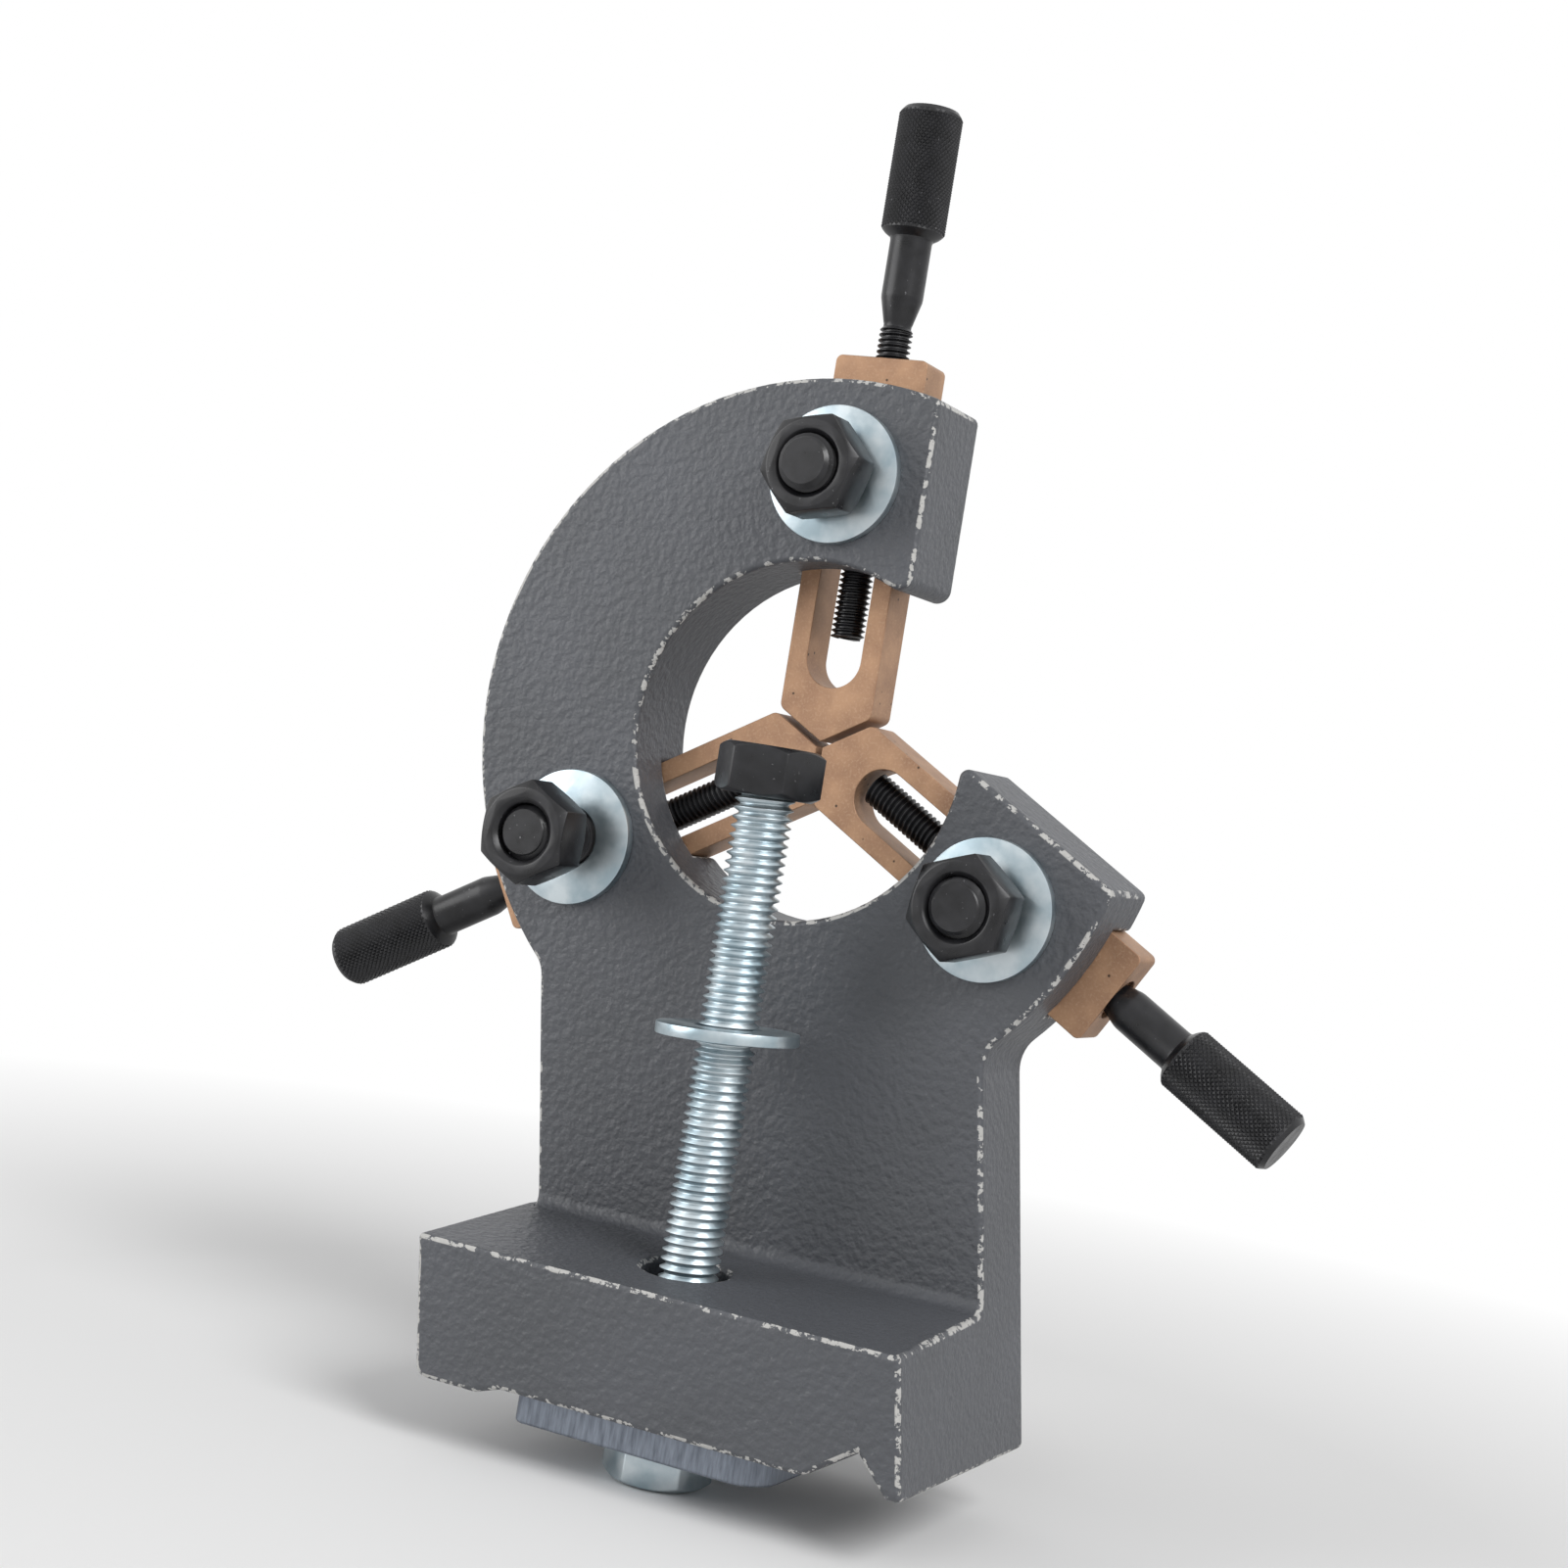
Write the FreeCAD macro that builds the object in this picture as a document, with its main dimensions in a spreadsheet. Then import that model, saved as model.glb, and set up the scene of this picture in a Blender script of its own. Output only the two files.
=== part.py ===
"""Three-jaw steady rest for a small lathe, with the clamp that holds it on the bed.

Frame: millimetres, +Z up, +Y away from the operator, +X to the right along the base.
The origin lies on the machined underside of the base, straight below the ring's centre,
in the middle plane of the ring plate.
"""
import FreeCAD, Part
import math
import os
import Sketcher
from FreeCAD import Placement, Rotation, Vector

doc = FreeCAD.newDocument("SteadyRest")
sheet = doc.addObject("Spreadsheet::Sheet", "Sizes")

SIZES = {
    # ring plate and column
    "ring_height": 112.0,
    "plate_thickness": 19.0,
    "arch_radius": 63.0,
    "bore_radius": 31.0,
    "gap_offset": 16.8,
    "arm_offset": 16.0,
    "gap_reach": 95.0,
    "column_lean": 10.0,
    "column_left": -31.1,
    "column_right": 54.4,
    "column_top": 72.0,
    "arm_corner": 7.0,
    "arch_corner": 5.0,
    "gap_corner": 2.5,
    "arm_tip_corner": 1.5,
    # base
    "base_depth": 54.0,
    "base_height": 24.0,
    "base_front_drop": 2.5,
    "base_left": -33.1,
    "foot_drop": 1.5,
    "foot_inner": -21.8,
    "seat_left": -17.1,
    "groove_left": 37.7,
    "groove_apex": 46.2,
    "groove_right": 51.7,
    "groove_rise": 5.8,
    "base_hole": 14.5,
    "column_foot_round": 2.5,
    "foot_round": 2.5,
    # jaw channels
    "jaw_step": 120.0,
    "channel_width": 18.0,
    "channel_floor": 0.95,
    "channel_start": 20.0,
    "lock_circle": 46.0,
    "lock_hole": 10.4,
    # jaws
    "jaw_width": 17.7,
    "jaw_depth": 8.5,
    "jaw_front": 1.0,
    "jaw_tip": 0.65,
    "jaw_end": 69.0,
    "slot_width": 10.4,
    "slot_inner": 15.4,
    "slot_outer": 47.3,
    "screw_clearance": 6.8,
    "screw_recess": 8.0,
    "recess_depth": 1.0,
    "jaw_corner": 1.2,
    "jaw_shoulder": 1.6,
    # adjusting screws
    "thread_diameter": 6.0,
    "thread_lead": 0.7,
    "neck_diameter": 5.0,
    "neck_length": 1.2,
    "shank_diameter": 7.5,
    "taper_length": 4.5,
    "shank_length": 15.2,
    "knob_diameter": 11.6,
    "knob_length": 23.2,
    "knob_lead": 1.6,
    "knob_edge": 0.9,
    # lock and clamp fastenings
    "bolt_diameter": 10.0,
    "bolt_end_chamfer": 1.0,
    "hex_width": 16.0,
    "head_height": 6.4,
    "nut_height": 8.4,
    "hex_chamfer_angle": 30.0,
    "hex_face_share": 0.94,
    "nut_bore": 10.1,
    "washer_diameter": 24.0,
    "washer_bore": 10.7,
    "washer_height": 2.0,
    "head_gap": 0.05,
    "cross_bore": 6.12,
    # bed clamp
    "hole_across": 4.0,
    "clamp_across": 4.7,
    "clamp_forward": -26.5,
    "clamp_plate_height": 5.5,
    "clamp_plate_left": -16.3,
    "clamp_plate_right": 29.4,
    "clamp_plate_depth": 27.2,
    "clamp_plate_bore": 10.8,
    "clamp_plate_corner": 2.0,
    "clamp_plate_round": 6.5,
    "clamp_plate_edge": 0.4,
    "clamp_washer_level": 61.2,
    "clamp_washer_tilt": 3.0,
    "clamp_nut_level": 101.6,
    "clamp_bolt_top": 109.4,
}

for row, (alias, size) in enumerate(SIZES.items(), start=1):
    sheet.set(f"A{row}", alias)
    sheet.set(f"B{row}", str(size))
    sheet.setAlias(f"B{row}", alias)
doc.recompute()


def cell(formula):
    """A formula over the sheet's aliases, with the sheet's name put before each of them."""
    words = [f"Sizes.{word}" if word in SIZES else word for word in formula.split()]
    return " ".join(words)


def worth(formula):
    """What a formula over the sheet's aliases comes to now."""
    result = sheet.evalExpression(cell(formula))
    return float(getattr(result, "Value", result))


def new_body(label):
    body = doc.addObject("PartDesign::Body", label)
    body.Label = label
    return body


def new_sketch(body, role, name, lift="0", up="0", across="0"):
    """A sketch on one of the body's own origin planes, moved by lift along the plane's normal."""
    sketch = body.newObject("Sketcher::SketchObject", name)
    plane = next(feature for feature in body.Origin.OriginFeatures if feature.Role == role)
    sketch.AttachmentSupport = [(plane, "")]
    sketch.MapMode = "FlatFace"
    sketch.setExpression("AttachmentOffset.Base.x", cell(across))
    sketch.setExpression("AttachmentOffset.Base.y", cell(up))
    sketch.setExpression("AttachmentOffset.Base.z", cell(lift))
    return sketch


def tie(sketch, kind, geometry, point, formula):
    """Holds one coordinate of a point of the sketch to a formula over the sheet."""
    number = sketch.addConstraint(
        Sketcher.Constraint(kind, -1, 1, geometry, point, worth(formula))
    )
    sketch.setExpression(f"Constraints[{number}]", cell(formula))


def draw_polygon(sketch, corners):
    """A closed outline of straight lines, each corner tied to two formulas."""
    places = [Vector(worth(across), worth(up), 0) for across, up in corners]
    count = len(places)
    for index in range(count):
        line = Part.LineSegment(places[index], places[(index + 1) % count])
        sketch.addGeometry(line)
    for index in range(count):
        following = (index + 1) % count
        sketch.addConstraint(Sketcher.Constraint("Coincident", index, 2, following, 1))
    for index, (across, up) in enumerate(corners):
        tie(sketch, "DistanceX", index, 1, across)
        tie(sketch, "DistanceY", index, 1, up)


def draw_circle(sketch, across, up, radius):
    """A circle with its centre and its radius tied to formulas."""
    centre = Vector(worth(across), worth(up), 0)
    circle = Part.Circle(centre, Vector(0, 0, 1), worth(radius))
    index = sketch.addGeometry(circle)
    tie(sketch, "DistanceX", index, 3, across)
    tie(sketch, "DistanceY", index, 3, up)
    number = sketch.addConstraint(Sketcher.Constraint("Radius", index, worth(radius)))
    sketch.setExpression(f"Constraints[{number}]", cell(radius))


def draw_slot(sketch, low, high, width):
    """An upright slot on the sketch's own Y axis, with round ends."""
    half = worth(width) / 2
    bottom = Vector(0, worth(low), 0)
    top = Vector(0, worth(high), 0)
    up = Vector(0, 0, 1)
    lower_arc = Part.ArcOfCircle(Part.Circle(bottom, up, half), math.pi, 2 * math.pi)
    upper_arc = Part.ArcOfCircle(Part.Circle(top, up, half), 0, math.pi)
    side = Vector(half, 0, 0)
    sketch.addGeometry(lower_arc)
    sketch.addGeometry(Part.LineSegment(bottom + side, top + side))
    sketch.addGeometry(upper_arc)
    sketch.addGeometry(Part.LineSegment(top - side, bottom - side))
    sketch.addConstraint(Sketcher.Constraint("Tangent", 0, 2, 1, 1))
    sketch.addConstraint(Sketcher.Constraint("Tangent", 1, 2, 2, 1))
    sketch.addConstraint(Sketcher.Constraint("Tangent", 2, 2, 3, 1))
    sketch.addConstraint(Sketcher.Constraint("Tangent", 3, 2, 0, 1))
    tie(sketch, "DistanceX", 0, 3, "0")
    tie(sketch, "DistanceY", 0, 3, low)
    tie(sketch, "DistanceX", 2, 3, "0")
    tie(sketch, "DistanceY", 2, 3, high)
    number = sketch.addConstraint(Sketcher.Constraint("Radius", 0, half))
    sketch.setExpression(f"Constraints[{number}]", cell(f"{width} / 2"))


def pad(body, sketch, name, length, midplane=False, reverse=False):
    feature = body.newObject("PartDesign::Pad", name)
    feature.Profile = sketch
    feature.Midplane = midplane
    feature.Reversed = reverse
    feature.setExpression("Length", cell(length))
    return feature


def pocket(body, sketch, name, length, midplane=False, reverse=False):
    feature = body.newObject("PartDesign::Pocket", name)
    feature.Profile = sketch
    feature.Midplane = midplane
    feature.Reversed = reverse
    feature.setExpression("Length", cell(length))
    return feature


def turned(body, sketch, kind, name):
    """A Revolution or a Groove once round the sketch's own vertical axis."""
    feature = body.newObject(f"PartDesign::{kind}", name)
    feature.Profile = sketch
    feature.ReferenceAxis = (sketch, ["V_Axis"])
    feature.Angle = 360
    return feature


def dress(body, kind, name, names, formula):
    """A Fillet or a Chamfer on named edges or faces of the body's last feature."""
    base = body.Tip
    feature = body.newObject(f"PartDesign::{kind}", name)
    feature.Base = (base, names)
    feature.setExpression("Radius" if kind == "Fillet" else "Size", cell(formula))
    body.Tip = feature
    doc.recompute()
    return feature


def edges_along(body, direction, place, reach=0.05):
    """Names of the straight edges parallel to direction whose line passes through place."""
    found = []
    for number, edge in enumerate(body.Tip.Shape.Edges, start=1):
        if not isinstance(edge.Curve, Part.Line):
            continue
        if abs(edge.Curve.Direction.dot(direction)) < 0.999:
            continue
        offset = edge.CenterOfMass - place
        if (offset - direction * offset.dot(direction)).Length < reach:
            found.append(f"Edge{number}")
    return found


def flat_faces(body, normal, place):
    """Names of the flat faces with this outward normal that lie in the plane through place."""
    found = []
    for number, face in enumerate(body.Tip.Shape.Faces, start=1):
        if not isinstance(face.Surface, Part.Plane):
            continue
        outward = face.normalAt(0, 0)
        if outward.dot(normal) < 0.999:
            continue
        if abs((face.CenterOfMass - place).dot(normal)) < 0.01:
            found.append(f"Face{number}")
    return found


def about_ring(angle):
    """Placement of a radial part that stands at this many degrees from the top, clockwise."""
    centre = Vector(0, 0, worth("ring_height"))
    return Placement(centre, Rotation(Vector(0, 1, 0), angle))


X_AXIS = Vector(1, 0, 0)
Y_AXIS = Vector(0, 1, 0)
Z_AXIS = Vector(0, 0, 1)


# ---------------------------------------------------------------- the casting
# An open ring plate on a leaning column that stands along the back of a deep base.
casting = new_body("frame_casting")

arch_sketch = new_sketch(casting, "XZ_Plane", "ArchOutline", up="ring_height")
draw_circle(arch_sketch, "0", "0", "arch_radius")
pad(casting, arch_sketch, "ArchDisc", "plate_thickness", midplane=True)

# Both sides of the column lean the same way, so it narrows nowhere and only shifts left.
column_sketch = new_sketch(casting, "XZ_Plane", "ColumnOutline")
LEAN_AT_TOP = "column_top * tan( column_lean * 1 deg )"
draw_polygon(
    column_sketch,
    [
        ("column_left", "0"),
        ("column_right", "0"),
        (f"column_right - {LEAN_AT_TOP}", "column_top"),
        (f"column_left - {LEAN_AT_TOP}", "column_top"),
    ],
)
pad(casting, column_sketch, "Column", "plate_thickness", midplane=True)

base_sketch = new_sketch(casting, "XZ_Plane", "BaseOutline", lift="plate_thickness * -0.5")
LEAN_AT_STEP = "base_height * tan( column_lean * 1 deg )"
draw_polygon(
    base_sketch,
    [
        (f"base_left - {LEAN_AT_STEP}", "base_height"),
        ("base_left", "-1 * foot_drop"),
        ("foot_inner", "-1 * foot_drop"),
        ("seat_left", "0"),
        ("groove_left", "0"),
        ("groove_apex", "groove_rise"),
        ("groove_right", "0"),
        ("column_right", "0"),
        (f"column_right - {LEAN_AT_STEP}", "base_height"),
    ],
)
pad(casting, base_sketch, "Base", "base_depth")

bore_sketch = new_sketch(casting, "XZ_Plane", "BoreOutline", up="ring_height")
draw_circle(bore_sketch, "0", "0", "bore_radius")
pocket(casting, bore_sketch, "Bore", "plate_thickness * 2", midplane=True)

# The gap is bounded by the upright end of the top arm and by the end of the right arm,
# which runs parallel to the right jaw.
gap_sketch = new_sketch(casting, "XZ_Plane", "GapOutline", up="ring_height")
draw_polygon(
    gap_sketch,
    [
        ("gap_offset", "( arm_offset - gap_offset * cos( 60 deg ) ) / sin( 60 deg )"),
        (
            "arm_offset * cos( 60 deg ) + gap_reach * sin( 60 deg )",
            "arm_offset * sin( 60 deg ) - gap_reach * cos( 60 deg )",
        ),
        ("gap_reach", "gap_reach"),
        ("gap_offset", "gap_reach"),
    ],
)
pocket(casting, gap_sketch, "Gap", "plate_thickness * 2", midplane=True)

# The top of the base falls a little towards the front edge.
slope_sketch = new_sketch(casting, "YZ_Plane", "BaseSlope")
draw_polygon(
    slope_sketch,
    [
        ("plate_thickness * -0.5", "base_height"),
        ("plate_thickness * 0.5 - base_depth - 1", "base_height - base_front_drop"),
        ("plate_thickness * 0.5 - base_depth - 1", "base_height + 5"),
        ("plate_thickness * -0.5", "base_height + 5"),
    ],
)
pocket(casting, slope_sketch, "BaseTop", "arch_radius * 4", midplane=True)

# Three channels for the jaws, open at the back, each crossed by the hole of its lock bolt.
channel_sketch = new_sketch(
    casting, "XZ_Plane", "ChannelOutline", up="ring_height", lift="-1 * channel_floor"
)
draw_polygon(
    channel_sketch,
    [
        ("channel_width * -0.5", "channel_start"),
        ("channel_width * 0.5", "channel_start"),
        ("channel_width * 0.5", "arch_radius + 5"),
        ("channel_width * -0.5", "arch_radius + 5"),
    ],
)
channel = pocket(casting, channel_sketch, "Channel", "plate_thickness")
lock_hole_sketch = new_sketch(casting, "XZ_Plane", "LockHoleOutline", up="ring_height")
draw_circle(lock_hole_sketch, "0", "lock_circle", "lock_hole / 2")
lock_hole = pocket(
    casting, lock_hole_sketch, "LockHole", "plate_thickness * 2", midplane=True
)
jaw_seats = casting.newObject("PartDesign::PolarPattern", "JawSeats")
jaw_seats.Originals = [channel, lock_hole]
jaw_seats.Axis = (channel_sketch, ["N_Axis"])
jaw_seats.Angle = 360
jaw_seats.Occurrences = 3
casting.Tip = jaw_seats

clamp_hole_sketch = new_sketch(casting, "XY_Plane", "ClampHoleOutline")
draw_circle(clamp_hole_sketch, "hole_across", "clamp_forward", "base_hole / 2")
clamp_hole = pocket(
    casting, clamp_hole_sketch, "ClampHole", "base_height * 3", midplane=True
)
casting.Tip = clamp_hole
doc.recompute()


def casting_corner(across, up):
    """Names of the casting's corner edges that run along Y through this point of the ring."""
    place = Vector(across, 0, worth("ring_height") + up)
    return edges_along(casting, Y_AXIS, place, reach=1.5)


def circle_height(radius, across):
    return math.sqrt(worth(radius) ** 2 - across**2)


lean = math.tan(math.radians(worth("column_lean")))


def column_meets_arch(foot):
    """Where the column's leaning side, which starts at foot, crosses the arch's circle."""
    height = worth("ring_height")
    radius = worth("arch_radius")
    # points of the side: x = foot - lean * (u + height), at a height u over the ring's centre
    constant = foot - lean * height
    a = 1 + lean**2
    b = -2 * lean * constant
    c = constant**2 - radius**2
    up = (-b - math.sqrt(b * b - 4 * a * c)) / (2 * a)
    return constant - lean * up, up


dress(
    casting,
    "Fillet",
    "RightShoulder",
    casting_corner(*column_meets_arch(worth("column_right"))),
    "arm_corner",
)
dress(
    casting,
    "Fillet",
    "LeftShoulder",
    casting_corner(*column_meets_arch(worth("column_left"))),
    "arch_corner",
)
dress(
    casting,
    "Fillet",
    "TopArmCorner",
    casting_corner(worth("gap_offset"), circle_height("bore_radius", worth("gap_offset"))),
    "gap_corner",
)
arm_offset = worth("arm_offset")
arm_inner = circle_height("bore_radius", arm_offset)
dress(
    casting,
    "Fillet",
    "RightArmCorner",
    casting_corner(
        arm_inner * math.sin(math.radians(120)) + arm_offset * 0.5,
        arm_inner * math.cos(math.radians(120)) + arm_offset * math.sin(math.radians(60)),
    ),
    "arm_tip_corner",
)

# Where the column stands on the base, along the front of the column.
column_foot = Vector(0, worth("plate_thickness") / -2, worth("base_height"))
dress(
    casting,
    "Fillet",
    "ColumnFoot",
    edges_along(casting, X_AXIS, column_foot, reach=0.3),
    "column_foot_round",
)
foot_corner = Vector(worth("base_left"), 0, -worth("foot_drop"))
dress(
    casting,
    "Fillet",
    "FootCorner",
    edges_along(casting, Y_AXIS, foot_corner, reach=0.3),
    "foot_round",
)


# ------------------------------------------------------------------- the jaws
def make_jaw(label, angle):
    """A slotted bronze finger with a blunt arrow tip; it slides in its channel of the ring."""
    body = new_body(label)
    outline = new_sketch(body, "XZ_Plane", "JawOutline", lift="-1 * jaw_front")
    draw_polygon(
        outline,
        [
            ("0", "jaw_tip"),
            ("jaw_width / 2", "jaw_tip + jaw_width / 2 / tan( jaw_step / 2 * 1 deg )"),
            ("jaw_width / 2", "jaw_end"),
            ("jaw_width * -0.5", "jaw_end"),
            ("jaw_width * -0.5", "jaw_tip + jaw_width / 2 / tan( jaw_step / 2 * 1 deg )"),
        ],
    )
    pad(body, outline, "JawBar", "jaw_depth", reverse=True)
    slot_outline = new_sketch(body, "XZ_Plane", "SlotOutline", lift="-1 * jaw_front")
    draw_slot(slot_outline, "slot_inner", "slot_outer", "slot_width")
    pocket(body, slot_outline, "Slot", "jaw_depth * 2")
    hole_outline = new_sketch(body, "XY_Plane", "ScrewHoleOutline", lift="jaw_end")
    draw_circle(hole_outline, "0", "jaw_front + jaw_depth / 2", "screw_clearance / 2")
    pocket(body, hole_outline, "ScrewHole", "jaw_end - slot_outer")
    recess_outline = new_sketch(body, "XY_Plane", "RecessOutline", lift="jaw_end")
    draw_circle(recess_outline, "0", "jaw_front + jaw_depth / 2", "screw_recess / 2")
    body.Tip = pocket(body, recess_outline, "Recess", "recess_depth")
    doc.recompute()
    half = worth("jaw_width") / 2
    shoulder = "jaw_tip + jaw_width / 2 / tan( jaw_step / 2 * 1 deg )"
    for name, level, radius in (
        ("EndCorners", "jaw_end", "jaw_corner"),
        ("Shoulders", shoulder, "jaw_shoulder"),
    ):
        corners = []
        for side in (-half, half):
            corners += edges_along(body, Y_AXIS, Vector(side, 0, worth(level)))
        dress(body, "Fillet", name, corners, radius)
    body.Placement = about_ring(angle)
    return body


# ------------------------------------------------------- the adjusting screws
def make_screw(label, angle, thread_end, taper_start, taper_end, shank):
    """A thumbscrew in the jaw's outer end: thread, neck, taper, shank and a long knob."""
    body = new_body(label)
    outline = new_sketch(
        body, "XZ_Plane", "ScrewOutline", lift="-1 * ( jaw_front + jaw_depth / 2 )"
    )
    knob_start = f"{taper_start} + {shank}"
    draw_polygon(
        outline,
        [
            ("0", thread_end),
            ("thread_diameter / 2 - thread_lead", thread_end),
            ("thread_diameter / 2", f"{thread_end} + thread_lead"),
            ("thread_diameter / 2", f"{taper_start} - neck_length"),
            ("neck_diameter / 2", f"{taper_start} - neck_length + 0.5"),
            ("neck_diameter / 2", taper_start),
            ("shank_diameter / 2", f"{taper_start} + {taper_end}"),
            ("shank_diameter / 2", knob_start),
            ("knob_diameter / 2", f"{knob_start} + knob_lead"),
            ("knob_diameter / 2", f"{knob_start} + knob_length - knob_edge"),
            ("knob_diameter / 2 - knob_edge", f"{knob_start} + knob_length"),
            ("0", f"{knob_start} + knob_length"),
        ],
    )
    turned(body, outline, "Revolution", "ScrewTurning")
    doc.recompute()
    body.Placement = about_ring(angle)
    return body


# ------------------------------------------------------------- the fastenings
def draw_hexagon(sketch):
    """A hexagon of the standard width across flats, with two flats along the sketch's X axis."""
    turns = range(6)
    reach = "hex_width / 2 / cos( 30 deg )"
    corners = [
        (f"{reach} * cos( {60 * turn} deg )", f"{reach} * sin( {60 * turn} deg )")
        for turn in turns
    ]
    draw_polygon(sketch, corners)


def chamfer_hexagon(body, name, level, sign):
    """Turns the corners off one end of a hexagon: a shallow cone that leaves a round face."""
    start = "hex_width / 2 * hex_face_share"
    end = "hex_width * 0.65"
    fall = f"( {end} - {start} ) * tan( hex_chamfer_angle * 1 deg )"
    outline = new_sketch(body, "XZ_Plane", f"{name}Outline")
    draw_polygon(
        outline,
        [
            (start, level),
            (end, f"{level} - {sign} * {fall}"),
            (end, f"{level} + {sign} * 1"),
            (start, f"{level} + {sign} * 1"),
        ],
    )
    groove = turned(body, outline, "Groove", name)
    body.Tip = groove
    doc.recompute()
    return groove


def make_bolt(label, length, crossing=None):
    """A hexagon-head bolt along +Z from the bearing face of its head, which is at z = 0."""
    body = new_body(label)
    head = new_sketch(body, "XY_Plane", "HeadOutline")
    draw_hexagon(head)
    pad(body, head, "Head", "head_height", reverse=True)
    chamfer_hexagon(body, "HeadChamfer", "-1 * head_height", -1)
    shank = new_sketch(body, "XZ_Plane", "ShankOutline")
    draw_polygon(
        shank,
        [
            ("0", "-1"),
            ("bolt_diameter / 2", "-1"),
            ("bolt_diameter / 2", f"{length} - bolt_end_chamfer"),
            ("bolt_diameter / 2 - bolt_end_chamfer", length),
            ("0", length),
        ],
    )
    body.Tip = turned(body, shank, "Revolution", "Shank")
    if crossing:
        cross = new_sketch(body, "XZ_Plane", "CrossHoleOutline")
        draw_circle(cross, "0", crossing, "cross_bore / 2")
        body.Tip = pocket(body, cross, "CrossHole", "bolt_diameter * 2", midplane=True)
    doc.recompute()
    return body


def make_nut(label):
    """A full nut, chamfered at both ends, along +Z from its bearing face at z = 0."""
    body = new_body(label)
    outline = new_sketch(body, "XY_Plane", "NutOutline")
    draw_hexagon(outline)
    pad(body, outline, "NutBlank", "nut_height")
    chamfer_hexagon(body, "TopChamfer", "nut_height", 1)
    chamfer_hexagon(body, "BottomChamfer", "0", -1)
    bore = new_sketch(body, "XY_Plane", "BoreOutline")
    draw_circle(bore, "0", "0", "nut_bore / 2")
    body.Tip = pocket(body, bore, "ThreadedBore", "nut_height * 3", midplane=True)
    doc.recompute()
    return body


def make_washer(label):
    """A flat washer along +Z from z = 0."""
    body = new_body(label)
    outline = new_sketch(body, "XY_Plane", "WasherOutline")
    draw_circle(outline, "0", "0", "washer_diameter / 2")
    draw_circle(outline, "0", "0", "washer_bore / 2")
    body.Tip = pad(body, outline, "WasherDisc", "washer_height")
    doc.recompute()
    return body


def facing_front(angle, level, spin):
    """Placement that turns +Z to face the front, on the lock circle, at this level of Y."""
    outward = about_ring(angle)
    seat = Placement(Vector(0, level, worth("lock_circle")), Rotation(X_AXIS, 90))
    return outward * seat * Placement(Vector(), Rotation(Z_AXIS, spin))


head_level = worth("plate_thickness / 2 + head_gap")
front_level = worth("plate_thickness * -0.5")
nodes = [casting]
SEATS = {
    # angle from the top, the nut's turn, where the screw's thread and taper start, and how far the
    # lock bolt and the loosened nut stand out beyond the plate and the washer
    "top": (0, 12, "19.4", "75.8", "14", "2"),
    "right": (120, 20, "11.5", "67.0", "15", "4"),
    "left": (240, -30, "12.5", "69.3", "17.7", "7.8"),
}
for side, (angle, spin, thread_end, taper_start, bolt_reach, nut_gap) in SEATS.items():
    nodes.append(make_jaw(f"{side}_jaw", angle))
    screw = make_screw(
        f"{side}_adjusting_screw", angle, thread_end, taper_start, "taper_length", "shank_length"
    )
    nodes.append(screw)
    grip = f"plate_thickness * 1.5 + head_gap - plate_thickness / 2 + {bolt_reach}"
    crossing = "plate_thickness / 2 + head_gap - jaw_front - jaw_depth / 2"
    bolt = make_bolt(f"{side}_lock_bolt", grip, crossing)
    bolt.Placement = facing_front(angle, head_level, 0)
    nodes.append(bolt)
    washer = make_washer(f"{side}_lock_washer")
    washer.Placement = facing_front(angle, front_level, 0)
    nodes.append(washer)
    nut = make_nut(f"{side}_lock_nut")
    nut_level = front_level - worth(f"washer_height + {nut_gap}")
    nut.Placement = facing_front(angle, nut_level, spin)
    nodes.append(nut)

# --------------------------------------------------------------- the bed clamp
clamp_axis = Vector(worth("clamp_across"), worth("clamp_forward"), 0)


def on_clamp_axis(level, spin=0):
    return Placement(clamp_axis + Vector(0, 0, level), Rotation(Z_AXIS, spin))


clamp_bolt = make_bolt("clamp_bolt", "clamp_bolt_top + clamp_plate_height")
clamp_bolt.Placement = on_clamp_axis(-worth("clamp_plate_height"), 20)
clamp_washer = make_washer("clamp_washer")
# the washer hangs a little askew on the thread
askew = Placement(Vector(), Rotation(Y_AXIS, -worth("clamp_washer_tilt")))
clamp_washer.Placement = on_clamp_axis(worth("clamp_washer_level")) * askew
clamp_nut = make_nut("clamp_nut")
clamp_nut.Placement = on_clamp_axis(worth("clamp_nut_level"), 12)

# The plate that reaches under the bed: square at one end, with large corners at the other.
clamp_plate = new_body("clamp_plate")
plate_outline = new_sketch(clamp_plate, "XY_Plane", "PlateOutline")
HALF_DEPTH = "clamp_plate_depth / 2"
draw_polygon(
    plate_outline,
    [
        ("clamp_plate_left - clamp_across", f"-1 * {HALF_DEPTH}"),
        ("clamp_plate_right - clamp_across", f"-1 * {HALF_DEPTH}"),
        ("clamp_plate_right - clamp_across", HALF_DEPTH),
        ("clamp_plate_left - clamp_across", HALF_DEPTH),
    ],
)
clamp_plate.Tip = pad(clamp_plate, plate_outline, "PlateBlank", "clamp_plate_height", reverse=True)
doc.recompute()
for name, end, radius in (
    ("SquareEnd", "clamp_plate_left - clamp_across", "clamp_plate_corner"),
    ("RoundEnd", "clamp_plate_right - clamp_across", "clamp_plate_round"),
):
    corners = []
    for sign in (-1, 1):
        place = Vector(worth(end), sign * worth(HALF_DEPTH), 0)
        corners += edges_along(clamp_plate, Z_AXIS, place)
    dress(clamp_plate, "Fillet", name, corners, radius)
plate_hole = new_sketch(clamp_plate, "XY_Plane", "PlateHoleOutline")
draw_circle(plate_hole, "0", "0", "clamp_plate_bore / 2")
clamp_plate.Tip = pocket(
    clamp_plate, plate_hole, "PlateHole", "clamp_plate_height * 4", midplane=True
)
doc.recompute()
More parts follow.
